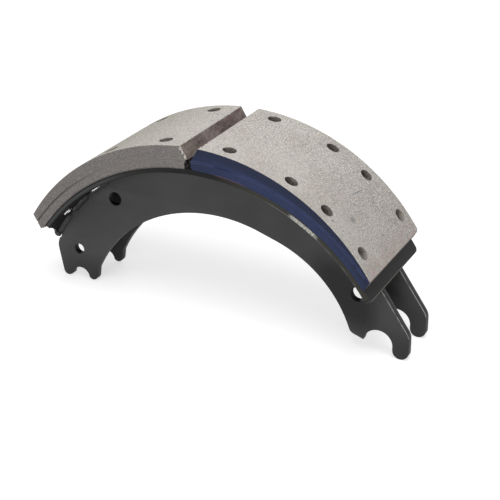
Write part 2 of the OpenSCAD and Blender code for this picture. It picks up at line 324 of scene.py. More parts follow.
def webPaint():
    look, base = paintedSteel("webPaint", plate["low"], plate["high"])
    camSide = 1 - look.rise(look.turned(shoe["tableAxis"]), *plate["anchorSide"])
    top = look.rise(look.fromAxis(shoe["tableAxis"]), *plate["top"])
    # paler on the cam side, with painted light added near the table's underside
    base = look.cover(base, plate["pale"], camSide * (plate["paleShare"] + plate["underTableLightShare"] * top))
    base = look.cover(base, plate["cut"], (1 - camSide) * plate["anchorSideShare"])
    # painted shade beside the anchor end's hole and on the fingers at both ends
    oval = (plate["shadePlace"], plate["shadeReach"], plate["shadeLean"])
    shade = look.patch(look.across, look.up, *oval, ragged=0.25, soft=0.45)
    anchor, cam, inner = plate["anchorFingerShade"], plate["camFingerShade"], plate["camInner"]
    atAnchor = look.rise(look.across, *anchor["across"]) * (1 - look.rise(look.up, *anchor["up"]))
    atAnchor = atAnchor * (1 - look.rise(look.along, *anchor["along"])) * anchor["share"]
    low = 1 - look.rise(look.up, *cam["up"])
    atCam = low * (1 - look.rise(look.across, *cam["across"]))
    atCam = atCam * (cam["share"] + inner["share"] * look.rise(look.across, *inner["across"]))
    shade = look.most(shade * plate["shadeShare"], look.most(atAnchor, atCam))
    look.colour(look.cover(base, plate["shade"], shade))
    return look.material


def webEdgeShadePaint():  # the cut edges all round, darkened with painted shade
    look, base = paintedSteel("webEdgeShadePaint", plate["cut"], plate["cutLight"])
    look.colour(base)
    return look.material


def webCornerHighlightPaint():  # a painted highlight in patches on the eased corners that face the light, stronger at the anchor end
    look, base = paintedSteel("webCornerHighlightPaint", plate["low"], plate["high"])
    # patches of the painted highlight
    worn = look.rise(look.noise(120.0, 3.0, 0.6), 0.3, 0.55)
    atAnchor = look.rise(look.turned(shoe["tableAxis"]), *plate["cornerAngles"])
    everywhere, added = plate["cornerShares"]
    look.colour(look.cover(base, plate["corner"], worn * (everywhere + added * atAnchor)))
    return look.material


def flatLoops(node):  # closed outlines of the face that looks along -Y
    edges = {}
    mesh = frame["nodes"][node].data
    for face in mesh.polygons:
        if face.normal.y > -0.999:
            continue
        spots = [mesh.vertices[index].co for index in face.vertices]
        keys = [(round(co.x, 7), round(co.z, 7)) for co in spots]
        for first, second in zip(keys, keys[1:] + keys[:1]):
            edges[(first, second)] = edges.get((first, second), 0) + 1
    following = {a: b for (a, b) in edges if (b, a) not in edges}
    loops = []
    while following:
        start, here = following.popitem()
        loop = [start]
        while here != start:
            loop.append(here)
            here = following.pop(here)
        loops.append(loop)
    return loops


def easedPlate(name, node, faces, edges, corners):
    low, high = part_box(node)
    curve = bpy.data.curves.new(name, "CURVE")
    curve.dimensions = "2D"
    curve.fill_mode = "BOTH"
    curve.extrude = (high.y - low.y) / 2 - plate["edge"]
    curve.bevel_depth = plate["edge"]
    curve.bevel_resolution = plate["steps"]
    curve.offset = -plate["edge"]
    for loop in flatLoops(node):
        spline = curve.splines.new("POLY")
        spline.points.add(len(loop) - 1)
        for point, (across, up) in zip(spline.points, loop):
            point.co = (across, up, 0, 1)
        spline.use_cyclic_u = True
    piece = meshFrom(inScene(name + "Outline", curve), name)
    upright = Matrix.Rotation(math.pi / 2, 4, "X")
    piece.data.transform(Matrix.Translation((0, (low.y + high.y) / 2, 0)) @ upright)
    finishPiece(piece, edges, node)
    for extra in (faces, corners):
        piece.data.materials.append(extra)
    seats = []
    for mount in frame["record"]["mounts"]:
        if mount["dims"]:
            reach = mount["dims"]["r_mm"] / 1000 + plate["seatMargin"]
            seats.append((mount["pos_m"][0], mount["pos_m"][2], reach))
    least, most = plate["easedSlope"]
    for face in piece.data.polygons:
        slope = abs(face.normal.y)
        lit = face.normal.z > plate["litSlope"] and face.normal.x > 0
        inSeat = any(math.dist((face.center.x, face.center.z), (x, z)) < reach for x, z, reach in seats)
        # eased edges that face up and outwards get the painted highlight
        if least < slope < most and lit and not inSeat:
            face.material_index = 2
        # the other eased edges get the painted shade
        elif slope > least:
            face.material_index = 1
    return piece


# the table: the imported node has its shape, so this is its finish alone
table = {
    "low": "#181818",
    "high": "#212120",
    "gloss": 0.12,
    "edgeDepth": (0.0012, 0.0002),  # metres inside the side face, from plain to edge
    "edge": "#3a3934",
    "edgeAngles": (4.0, 20.0),  # degrees from the middle, towards the anchor end
    "strip": "#3f4040",  # a paler line along the edge's middle, at the cam end
    "stripDepths": (0.0012, 0.0040),  # metres below the outer face
    "stripAngles": (-32.0, -12.0),
    "paleEdge": "#6b6a64",  # a painted highlight on the end's lip, and paler patches on the lower edge
    "lipAngles": (57.75, 57.95),
    "lipAlong": (0.024, 0.03),
    "lowerDepths": (0.0036, 0.0048),
    "lowerAngles": (12.0, 26.0),
    "scuff": "#c4c3bd",
    "scuffAngles": (28.6, 36.9),
    "scuffDepths": (0.0012, 0.0046),
}


def tablePaint():
    look, base = paintedSteel("tablePaint", table["low"], table["high"], table["gloss"])
    angle = look.turned(shoe["tableAxis"])
    radius = look.fromAxis(shoe["tableAxis"])
    depth = shoe["tableRadius"] - radius
    plain, full = table["edgeDepth"]
    edge = look.rise(look.size(look.along), shoe["sideFace"] - plain, shoe["sideFace"] - full)
    base = look.cover(base, table["edge"], edge * look.rise(angle, *table["edgeAngles"]) * 0.8)
    strip = look.band(depth, *table["stripDepths"], 0.0003) * edge
    strip = strip * (1 - look.rise(angle, *table["stripAngles"]))
    base = look.cover(base, table["strip"], strip * 0.9)
    # painted highlight along the end's lip
    lipHighlight = look.rise(angle, *table["lipAngles"]) * (1 - look.rise(look.along, *table["lipAlong"]))
    base = look.cover(base, table["paleEdge"], lipHighlight * 0.7)
    lower = look.band(depth, *table["lowerDepths"], 0.0004) * edge
    lower = lower * look.rise(look.noise(90.0, 3.0), 0.35, 0.6) * look.rise(angle, *table["lowerAngles"])
    base = look.cover(base, table["paleEdge"], lower * 0.6)
    streaks = look.streaks(angle, depth, 0.9, 900.0)
    worn = look.band(angle, *table["scuffAngles"], 1.0) * look.rise(streaks, 0.44, 0.52) * edge
    look.colour(look.cover(base, table["scuff"], worn * look.band(depth, *table["scuffDepths"], 0.0005)))
    return look.material


# welds: short convex runs in the corner between a web and the table
weld = {
    "count": 13,
    "span": 7.6,  # degrees about the table's axis, as are the next three
    "firstStart": -59.9637,
    "pitch": 9.2053,
    "jitter": 0.12,
    "seed": 5,
    "leg": 0.0042,
    "hollow": 0.15,  # how far the bead's middle stays inside a full quarter round
    "ripple": 0.0014,
    "rippleDepth": 0.05,
    "rippleBow": 0.7,  # how far a ripple's middle runs ahead of its ends, in ripples
    "endRun": 0.0035,
    "endLeast": 0.03,
    "steps": 96,
    "across": 7,
    "sink": 0.0004,
    "dropAngle": -60.35,
    "dropRadius": 0.2014,
    "dropOut": 0.0300,
    "dropSize": 0.0029,
    "dropStretch": 0.4,
    "dropSeed": 4,
    "dropWaves": 4,
    "dropFineness": 900,
    "dropRough": 0.05,
    "runShade": "#1f1f1f",
    "shadedRunAngles": (-51.5, -42.0),  # degrees from the middle: the one run with more painted shade and a painted highlight on its crest
    # painted shade in the toe beside the web
    "toeShade": "#141414",
    "toeDrop": (0.0027, 0.0036),  # metres below the table, as is the next
    # where the painted highlight lies on the crest, and its tone
    "crestDrop": (0.0002, 0.0009),
    "crestHighlight": "#75736e",
}


def weldPaint():  # as the webs, with painted shade in the toe beside the web, and on one run more painted shade and a painted highlight on its crest
    look, base = paintedSteel("weldPaint", plate["low"], plate["high"])
    down = shoe["tableRadius"] - shoe["tableThickness"] - look.fromAxis(shoe["tableAxis"])
    oneRun = look.band(look.turned(shoe["tableAxis"]), *weld["shadedRunAngles"], 0.8)
    # painted shade on the one run and in the toe, and a painted highlight on that run's crest
    base = look.cover(base, weld["runShade"], oneRun * 0.45)
    base = look.cover(base, weld["toeShade"], look.rise(down, *weld["toeDrop"]) * (0.25 + 0.65 * oneRun))
    crestHighlight = look.band(down, *weld["crestDrop"], 0.0003) * oneRun * look.rise(look.noise(110.0), 0.3, 0.5)
    look.colour(look.cover(base, weld["crestHighlight"], crestHighlight * 0.8))
    return look.material


def stitchMesh(side):  # one run about an axis along Y, its middle straight up
    under = shoe["tableRadius"] - shoe["tableThickness"]
    half = math.radians(weld["span"] / 2)
    work = bmesh.new()
    rings = []
    for step in range(weld["steps"] + 1):
        share = -1 + 2 * step / weld["steps"]
        run = share * half * under
        toEnd = min((1 - abs(share)) * half * under / weld["endRun"], 1)
        leg = weld["leg"] * max(1 - (1 - toEnd) ** 2, weld["endLeast"]) ** 0.5
        section = [(-weld["sink"], -weld["sink"]), (-weld["sink"], leg)]
        for k in range(weld["across"] + 1):
            turn = math.pi / 2 * k / weld["across"]
            bow = math.sin(2 * turn)
            wave = abs(math.sin(math.pi * (run / weld["ripple"] + weld["rippleBow"] * bow)))
            size = leg * (1 - weld["hollow"] * bow - weld["rippleDepth"] * bow * (1 - wave))
            section.append((size * math.sin(turn), size * math.cos(turn)))
        section.append((leg, -weld["sink"]))
        angle = share * half
        ring = []
        for down, out in section:
            radius = under - down
            place = (radius * math.sin(angle), side * (shoe["webOuter"] + out), radius * math.cos(angle))
            ring.append(work.verts.new(place))
        rings.append(ring)
    for first, second in zip(rings, rings[1:]):
        for k in range(len(first)):
            after = (k + 1) % len(first)
            work.faces.new((first[k], first[after], second[after], second[k]))
    work.faces.new(rings[0])
    work.faces.new(rings[-1][::-1])
    bmesh.ops.recalc_face_normals(work, faces=work.faces)
    return meshOf(work, "stitch")


class Steps:  # a Geometry Nodes tree, built node by node, and put on an object
    def __init__(self, name, inputs):
        self.tree = bpy.data.node_groups.new(name, "GeometryNodeTree")
        face = self.tree.interface
        face.new_socket("Geometry", in_out="INPUT", socket_type="NodeSocketGeometry")
        self.sockets = {}
        for label, kind in inputs.items():
            self.sockets[label] = face.new_socket(label, in_out="INPUT", socket_type="NodeSocket" + kind)
        face.new_socket("Geometry", in_out="OUTPUT", socket_type="NodeSocketGeometry")
        self.entry = self.tree.nodes.new("NodeGroupInput").outputs

    def add(self, kind, settings=None, values=None, out=0):
        made = self.tree.nodes.new(kind)
        for key, value in (settings or {}).items():
            setattr(made, key, value)
        for key, value in (values or {}).items():
            if isinstance(value, bpy.types.NodeSocket):
                self.tree.links.new(value, made.inputs[key])
            else:
                made.inputs[key].default_value = value
        return made.outputs[out]

    def scaled(self, value, factor, start):  # value times factor, added to start
        return self.add("ShaderNodeMath", {"operation": "MULTIPLY_ADD"}, {0: value, 1: factor, 2: start})

    def chance(self, low, high, seed):
        return self.add("FunctionNodeRandomValue", {"data_type": "FLOAT"}, {2: low, 3: high, 8: seed}, 1)

    def turnAbout(self, axis, angle):  # axis is 0, 1 or 2
        euler = self.add("ShaderNodeCombineXYZ", None, {axis: angle})
        return self.add("FunctionNodeEulerToRotation", None, {0: euler})

    def end(self, geometry):
        real = self.add("GeometryNodeRealizeInstances", values={"Geometry": geometry})
        values = {"Geometry": real, "Material": self.entry["Material"]}
        done = self.add("GeometryNodeSetMaterial", None, values)
        self.tree.links.new(done, self.tree.nodes.new("NodeGroupOutput").inputs[0])

    def run(self, mesh, name, values):  # a plain mesh of what the tree makes from the given one
        source = inScene(name + "Source", mesh)
        modifier = source.modifiers.new("steps", "NODES")
        modifier.node_group = self.tree
        for label, value in values.items():
            modifier[self.sockets[label].identifier] = value
        return meshFrom(source, name)


def stitchSteps():
    inputs = {"Count": "Int", "First": "Float", "Pitch": "Float", "Jitter": "Float", "Axis": "Vector"}
    steps = Steps("stitchSteps", {**inputs, "Material": "Material"})
    entry = steps.entry
    line = steps.add("GeometryNodeMeshLine", None, {"Count": entry["Count"], "Offset": (0, 0, 0)})
    turn = steps.scaled(steps.add("GeometryNodeInputIndex"), entry["Pitch"], entry["First"])
    turn = steps.scaled(steps.chance(-1.0, 1.0, weld["seed"]), entry["Jitter"], turn)
    values = {"Points": line, "Instance": entry["Geometry"], "Rotation": steps.turnAbout(1, turn)}
    placed = steps.add("GeometryNodeInstanceOnPoints", None, values)
    steps.end(steps.add("GeometryNodeTransform", None, {"Geometry": placed, "Translation": entry["Axis"]}))
    return steps


def weldRuns(steps, name, side, node, material):
    values = {
        "Count": weld["count"],
        "First": math.radians(weld["firstStart"] + weld["span"] / 2) - tilt,
        "Pitch": math.radians(weld["pitch"]),
        "Jitter": math.radians(weld["jitter"]),
        "Axis": (shoe["tableAxis"][0], 0.0, shoe["tableAxis"][1]),
        "Material": material,
    }
    piece = steps.run(stitchMesh(side), name, values)
    if side < 0:
        runOff(piece.data)
    return finishPiece(piece, material, node)


def runOff(mesh):  # the drop that the first run left over the table's end, on the near side
    draw = random.Random(weld["dropSeed"])
    angle = math.radians(weld["dropAngle"]) - tilt
    outward = Vector((math.sin(angle), 0.0, math.cos(angle)))
    across = shoe["tableAxis"][0] + weld["dropRadius"] * math.sin(angle)
    up = shoe["tableAxis"][1] + weld["dropRadius"] * math.cos(angle)
    middle = Vector((across, -weld["dropOut"], up))
    waves = []
    for _ in range(weld["dropWaves"]):
        waves.append(Vector([draw.uniform(-1, 1) for _ in range(3)]) * weld["dropFineness"])
    work = bmesh.new()
    work.from_mesh(mesh)
    for vert in bmesh.ops.create_icosphere(work, subdivisions=3, radius=weld["dropSize"])["verts"]:
        swell = sum(math.sin(vert.co.dot(wave)) for wave in waves)
        spot = vert.co * (1 + weld["dropRough"] * swell)
        vert.co = spot + outward * spot.dot(outward) * weld["dropStretch"] + middle
    work.to_mesh(mesh)
    work.free()


# rivets: bright where the tail is rolled over, dull down in the counterbore
rivet = {
    "bright": "#dcdde0",
    "dull": "#5d5a55",
    "dullDark": "#2b2a27",
    "dullPale": "#8a8681",  # in the outer row of the anchor block
    "dullSpeck": "#8a867f",
    "paleAngles": (42.0, 46.0),
    "landTop": 5.0,  # the sizes of the profile are in millimetres, from the table's outer face
    "headTop": 6.9,
    "headRadius": 6.1,
    "shankRadius": 3.2,
    "underTable": -5.1,
    "tailRadius": 5.0,
    "tailReach": 2.0,
    "hollowRadius": 2.1,
    "hollowTop": -0.3,
    "around": 56,
    "splits": 8,
    "splitDepth": 0.05,  # as a share of the radius
    "splitLift": 0.1,
    "column": 0.048,
    "camRows": (8.8, 24.4, 34.9, 47.8),  # degrees from the middle of the table
    "anchorRows": (7.7, 24.0, 34.5, 47.3),
    "camSeed": 3,
    "anchorSeed": 8,
}


def rivetMetal():
    look = Finish("rivetMetal")
    radius = look.fromAxis(shoe["tableAxis"])
    angle = look.turned(shoe["tableAxis"])
    head = look.rise(radius, shoe["tableRadius"] - 0.001, shoe["tableRadius"] + 0.001)
    grain = look.noise(520.0, 3.0, 0.6)
    dull = look.cover(tone(rivet["dull"]), rivet["dullPale"], look.rise(angle, *rivet["paleAngles"]) * 0.7)
    dull = look.cover(dull, rivet["dullDark"], look.rise(grain, 0.48, 0.6) * 0.6)
    dull = look.cover(dull, rivet["dullSpeck"], look.rise(look.noise(640.0), 0.57, 0.66) * 0.5)
    look.colour(look.blend(tone(rivet["bright"]), dull, head))
    look.feed(look.shader.inputs["Metallic"], 1 - head)
    look.rough(0.2 + 0.55 * head)
    look.bump(grain, 0.0001, 0.5)
    return look.material


def rivetMesh():  # about Z, with the table's outer face at zero
    r = rivet
    top = r["headTop"]
    low = r["underTable"]
    tip = low + 0.1 - r["tailReach"]
    tail = r["tailRadius"]
    head = [
        (0.0, top - 0.35), (1.0, top - 0.33), (1.9, top - 0.12), (2.6, top), (4.6, top), (5.5, top - 0.1),
        (r["headRadius"] - 0.12, top - 0.4), (r["headRadius"], top - 0.8),
        (r["headRadius"], r["landTop"] + 0.25), (r["headRadius"] - 0.2, r["landTop"]),
        (r["shankRadius"], r["landTop"]), (r["shankRadius"], low), (tail - 0.5, low),
    ]
    rolled = [
        (tail - 0.1, low - 0.3), (tail, low - 0.8), (tail - 0.25, tip + 0.45), (tail - 0.75, tip + 0.1),
        ((tail + r["hollowRadius"]) / 2, tip),
    ]
    hollow = [
        (r["hollowRadius"] + 0.45, tip + 0.15), (r["hollowRadius"] + 0.1, tip + 0.6),
        (r["hollowRadius"], tip + 1.2), (r["hollowRadius"], r["hollowTop"]), (0.0, r["hollowTop"] + 0.6),
    ]
    around = r["around"]
    work = bmesh.new()
    rings = []
    for place, (radius, up) in enumerate(head + rolled + hollow):
        if radius == 0:
            rings.append([work.verts.new((0, 0, up / 1000))])
            continue
        isRolled = len(head) <= place < len(head) + len(rolled)
        ring = []
        for k in range(around):
            angle = math.tau * k / around
            split = max(math.cos(r["splits"] * angle), 0) ** 8 if isRolled else 0
            reach = radius * (1 - r["splitDepth"] * split) / 1000
            height = (up + r["splitLift"] * split) / 1000
            ring.append(work.verts.new((reach * math.cos(angle), reach * math.sin(angle), height)))
        rings.append(ring)
    for first, second in zip(rings, rings[1:]):
        for k in range(around):
            after = (k + 1) % around
            if len(first) == 1:
                work.faces.new((first[0], second[k], second[after]))
            elif len(second) == 1:
                work.faces.new((first[k], second[0], first[after]))
            else:
                work.faces.new((first[k], second[k], second[after], first[after]))
    bmesh.ops.recalc_face_normals(work, faces=work.faces)
    return meshOf(work, "rivet")


def rivetSteps():
    steps = Steps("rivetSteps", {"Rivet": "Object", "Seed": "Int", "Material": "Material"})
    entry = steps.entry
    values = {"Object": entry["Rivet"], "As Instance": True}
    shape = steps.add("GeometryNodeObjectInfo", None, values, "Geometry")
    turn = steps.add("GeometryNodeInputNamedAttribute", {"data_type": "FLOAT"}, {"Name": "turn"})
    values = {"Points": entry["Geometry"], "Instance": shape, "Rotation": steps.turnAbout(1, turn)}
    placed = steps.add("GeometryNodeInstanceOnPoints", None, values)
    ownTurn = steps.turnAbout(2, steps.chance(0.0, math.tau, entry["Seed"]))
    values = {"Instances": placed, "Rotation": ownTurn, "Local Space": True}
    steps.end(steps.add("GeometryNodeRotateInstances", None, values))
    return steps


def rivetRows(steps, name, end, rows, material):  # the rivets of one block
    places = []
    turns = []
    for row in rows:
        for side in (-1, 1):
            angle = math.radians(end * row) - tilt
            places.append((
                shoe["tableAxis"][0] + shoe["tableRadius"] * math.sin(angle),
                side * rivet["column"],
                shoe["tableAxis"][1] + shoe["tableRadius"] * math.cos(angle),
            ))
            turns.append(angle)
    points = bpy.data.meshes.new(name + "Places")
    points.from_pydata(places, [], [])
    points.attributes.new("turn", "FLOAT", "POINT").data.foreach_set("value", turns)
    shape = inScene("rivetShape", rivetMesh())
    word = "cam" if end < 0 else "anchor"
    piece = steps.run(points, name, {"Rivet": shape, "Seed": rivet[word + "Seed"], "Material": material})
    bpy.data.objects.remove(shape)
    covered = [f"{word}_rivet_{row + 1}_{side}" for row in range(len(rows)) for side in ("front", "rear")]
    return finishPiece(piece, material, *covered)


# friction material of the two blocks
lining = {
    "face": "#b3aea8",
    "faceCloud": "#aaa49e",
    "faceLight": "#d6d2cc",
    "faceDark": "#79746f",
    "faceCamToneAndShade": "#97948b",  # the cam block's face, darker and greener towards its outer end: partly its own tone, partly painted shade
    "facePink": "#a8928e",  # the anchor block's face, at its outer end
    "sparkDark": "#5f5a56",
    "sparkLight": "#ece8e2",
    "lightScale": 740.0,
    "darkScale": 610.0,
    "sparkScale": 1250.0,
    "cloudScale": 26.0,
    "coarseScale": 330.0,
    "fineScale": 720.0,
    "farSide": (-0.055, 0.035),  # metres along Y, from plain to the darker, livelier far side
    "farAngles": (-60.0, 25.0),  # degrees from the middle, as are the next three
    # painted shade, darkening the face towards the anchor end
    "shadeAngles": (25.0, 46.0),
    "camAngles": (-30.0, 0.0),
    "pinkAngles": (52.5, 57.5),
    "bore": "#989189",
    # painted shade deep in the counterbores
    "boreShade": "#48433e",
    "borePale": "#a5a09b",
    "boreDark": "#3c3835",
    "boreDepths": (0.015, 0.001),  # metres below the face, from the painted shade to pale
    "boreAngles": (38.0, 44.0),
    "side": "#736f6d",
    "sideLight": "#97928f",
    "sideDark": "#575352",
    "wearLine": "#595553",
    # painted light in the wear line, offsetting its groove's shade towards the middle
    "wearLinePaintedLight": "#8f8a87",
    "wearLineHeights": (0.0075, 0.0093),  # metres above the table
    "wearLineAngles": (-50.0, -24.0),
    # painted shadow along the joint with the table
    "foot": "#2f2c2b",
    "footHeights": (0.0, 0.0011),
    "footAngles": (-58.0, -40.0),
    "gapHalf": 0.0017,
    "lean": 29.963,
    "topOfGapEnd": 0.096226,  # distance of the sloping gap end from the drum's axis
    "gapAngles": (-6.5, -6.0),
    "gapEnd": "#6c605d",
    "gapEndRed": "#6a5350",
    "gapEndOlive": "#756c65",
    "gapEndPale": "#8d827e",
    "gapEndDark": "#463b38",
    "gapEndPits": "#4d423f",
    "gapEndSpark": "#9a908c",
    "redAlong": (0.02, 0.045),
    "oliveAlong": (-0.055, -0.02),
    "broken": "#b9b5ad",
    "brokenDark": "#8f8a83",
    # painted shadow in the recess under the chip, and painted glints in it
    "recessShadow": "#332e2d",
    "recessGlint": "#a39e98",
    "recessHeights": (0.0088, 0.0094),
    "blue": "#232c49",
    "blueLight": "#2b3556",
    "blueDark": "#1a2034",
    "blueTop": (0.013, 0.004),  # metres below the face, from plain to the darker top
    "blueAngles": (4.0, 15.0),
    # painted light in the groove, offsetting its shade, and painted highlights on the ridges beside it
    "groove": "#36406a",
    "grooveHeights": (0.0077, 0.0091),
    "ridgeHighlight": "#515b80",
    "ridgeHeights": ((0.0073, 0.0077), (0.0090, 0.0095)),
    "blueFoot": "#7d5562",
    "blueFootHeights": (-0.0002, 0.0006),
    "blueFootAngles": (8.0, 17.0),
    "endPale": "#8d8480",
    "nearEndAngles": (3.5, 4.5),  # degrees from the middle, at the anchor block's two ends
    "outerEndAngles": (56.8, 57.4),
    "mark": "#3f5b78",
    "smudge": "#6e7274",
    "marks": (  # place and half sizes along the arc and along Y, lean in degrees, raggedness
        ((0.1457, 0.012), (0.0098, 0.0006), 82, 2.2),
        ((0.1499, -0.0532), (0.0014, 0.0012), 0, 0.8),
        ((0.1614, -0.0266), (0.0028, 0.0032), 0, 2.4),
    ),
}


def blockMasks(look):
    radius = look.fromAxis(shoe["drumAxis"])
    onFace = look.rise(radius, shoe["drumRadius"] - 0.0005, shoe["drumRadius"] - 0.0001)
    onSide = look.rise(look.size(look.along), shoe["sideFace"] - 0.0012, shoe["sideFace"] - 0.0009)
    return radius, onFace, onSide


def groundFace(look, angle):  # the rubbed face: pale, with fine light and dark grains, darker towards both ends with painted shade, at the cam end partly the block's own tone
    light = look.noise(lining["lightScale"], 2.0, 0.6)
    dark = look.noise(lining["darkScale"], 3.0, 0.6)
    cloud = look.noise(lining["cloudScale"], 4.0, 0.6)
    sparks = look.noise(lining["sparkScale"], 1.0)
    far = look.rise(look.along, *lining["farSide"]) * look.rise(angle, *lining["farAngles"])
    base = look.cover(tone(lining["face"]), lining["faceCloud"], look.rise(cloud, 0.42, 0.6))
    # darker on the far side, and painted shade towards the anchor end
    base = look.cover(base, lining["faceDark"], far * 0.1 + look.rise(angle, *lining["shadeAngles"]) * 0.14)
    # darker and greener towards the cam end: partly the block's own tone, partly painted shade
    base = look.cover(base, lining["faceCamToneAndShade"], 1 - look.rise(angle, *lining["camAngles"]))
    base = look.cover(base, lining["faceLight"], look.rise(light, 0.53, 0.63) * (0.6 + 0.25 * far))
    base = look.cover(base, lining["faceDark"], look.rise(dark, 0.54, 0.65) * (0.52 + 0.3 * far))
    base = look.cover(base, lining["sparkDark"], look.rise(sparks, 0.59, 0.68) * (0.32 + 0.36 * far))
    base = look.cover(base, lining["sparkLight"], (1 - look.rise(sparks, 0.31, 0.39)) * (0.36 + 0.3 * far))
    return base, light + dark


def boreTone(look, radius):  # the counterbores' walls: mottled, with painted shade darker further down
    dark, pale = lining["boreDepths"]
    high = look.rise(radius, shoe["drumRadius"] - dark, shoe["drumRadius"] - pale)
    high = high * (0.35 + 0.65 * look.rise(look.turned(shoe["drumAxis"]), *lining["boreAngles"]))
    wall = look.cover(tone(lining["boreShade"]), lining["bore"], high)
    wall = look.cover(wall, lining["borePale"], look.rise(look.noise(640.0), 0.52, 0.62) * 0.5)
    return look.cover(wall, lining["boreDark"], look.rise(look.noise(430.0, 3.0, 0.7), 0.52, 0.62) * 0.5)


def gapEndTone(look, coarse, fine):  # the sloping end at the gap: cloudy, redder at the far side
    drawn = look.node("ShaderNodeCombineXYZ", None, {0: look.across, 1: look.along * 0.4, 2: look.up})
    cloudy = look.noise(95.0, 4.0, 0.6, drawn)
    red = look.rise(look.along, *lining["redAlong"]) * look.rise(look.noise(60.0, 3.0), 0.4, 0.58)
    end = look.cover(tone(lining["gapEnd"]), lining["gapEndRed"], red * 0.8)
    end = look.cover(end, lining["gapEndOlive"], 1 - look.rise(look.along, *lining["oliveAlong"]))
    end = look.cover(end, lining["gapEndPale"], look.rise(cloudy, 0.5, 0.62) * 0.6)
    end = look.cover(end, lining["gapEndDark"], (1 - look.rise(cloudy, 0.36, 0.48)) * 0.6)
    end = look.cover(end, lining["gapEndPits"], look.rise(coarse, 0.52, 0.62) * 0.55)
    return look.cover(end, lining["gapEndSpark"], (1 - look.rise(fine, 0.36, 0.44)) * 0.3)


def brokenTone(look, coarse, height):  # the chipped corner: pale above, with painted shadow and painted glints in the recess below
    above = look.rise(height, *lining["recessHeights"])
    bite = look.cover(tone(lining["broken"]), lining["brokenDark"], look.rise(coarse, 0.5, 0.6))
    bite = look.blend(tone(lining["recessShadow"]), bite, above)
    # painted glints in the recess
    glint = look.rise(look.noise(380.0), 0.56, 0.6)
    return look.cover(bite, lining["recessGlint"], glint * (1 - above) * 0.8)


def camLiningFinish():
    look = Finish("camLiningFinish", Specular_IOR_Level=0.2, Roughness=0.9)
    radius, onFace, onSide = blockMasks(look)
    across, up = look.upright(shoe["drumAxis"])
    angle = look.turned(shoe["drumAxis"])
    height = look.fromAxis(shoe["tableAxis"]) - shoe["tableRadius"]
    face, grain = groundFace(look, angle)
    coarse = look.noise(lining["coarseScale"], 3.0, 0.65)
    fine = look.noise(lining["fineScale"], 2.0, 0.6)
    side = look.cover(tone(lining["side"]), lining["sideLight"], look.rise(fine, 0.5, 0.66) * 0.42)
    side = look.cover(side, lining["sideDark"], (1 - look.rise(fine, 0.36, 0.5)) * 0.38)
    # painted light in the wear line, offsetting the groove's shade towards the middle
    paler = look.rise(angle, *lining["wearLineAngles"])
    lineTone = look.cover(tone(lining["wearLine"]), lining["wearLinePaintedLight"], paler)
    side = look.blend(side, lineTone, look.band(height, *lining["wearLineHeights"], 0.0004) * 0.8)
    # painted shadow along the joint with the table, towards the cam end
    foot = look.band(height, *lining["footHeights"], 0.0003) * look.rise(angle, *lining["footAngles"])
    side = look.cover(side, lining["foot"], foot * 0.5)
    lean = math.radians(lining["lean"])
    slope = across * math.cos(lean) + up * math.sin(lean)
    onSlope = look.rise(slope, lining["topOfGapEnd"] - 0.0003, lining["topOfGapEnd"] - 0.0001)
    onFloor = look.rise(across, -lining["gapHalf"] - 0.0003, -lining["gapHalf"] - 0.0001)
    atGap = look.rise(angle, *lining["gapAngles"])
    broken = atGap * (1 - look.most(onSlope, onFloor)) * (1 - onSide)
    inner = look.blend(boreTone(look, radius), gapEndTone(look, coarse, fine), atGap)
    inner = look.blend(inner, brokenTone(look, coarse, height), broken)
    body = look.blend(inner, side, onSide)
    look.colour(look.blend(body, face, onFace))
    look.bump(grain + coarse * 0.3, 0.00025, 0.3)
    return look.material


def paintedSideTone(look, radius, angle, height):  # blue, with painted light in the groove and painted highlights on the two ridges beside it
    streaks = look.streaks(angle, height, 0.35, 700.0)
    blue = look.cover(tone(lining["blue"]), lining["blueLight"], look.rise(streaks, 0.45, 0.62))
    plain, dark = lining["blueTop"]
    top = look.rise(radius, shoe["drumRadius"] - plain, shoe["drumRadius"] - dark)
    atGap = 0.55 - 0.55 * look.rise(angle, *lining["blueAngles"])
    blue = look.cover(blue, lining["blueDark"], look.most(top * 0.8, atGap))
    lower, upper = (look.band(height, *heights, 0.0002) for heights in lining["ridgeHeights"])
    ridgeHighlights = look.most(lower, upper) * look.rise(look.noise(60.0, 3.0), 0.3, 0.55)
    # painted light in the groove and painted highlights on its ridges
    blue = look.cover(blue, lining["groove"], look.band(height, *lining["grooveHeights"], 0.0002) * 0.6)
    blue = look.cover(blue, lining["ridgeHighlight"], ridgeHighlights * 0.7)
    foot = look.band(height, *lining["blueFootHeights"], 0.0002)
    foot = foot * look.band(angle, *lining["blueFootAngles"], 2.0)
    return look.cover(blue, lining["blueFoot"], foot * 0.5)


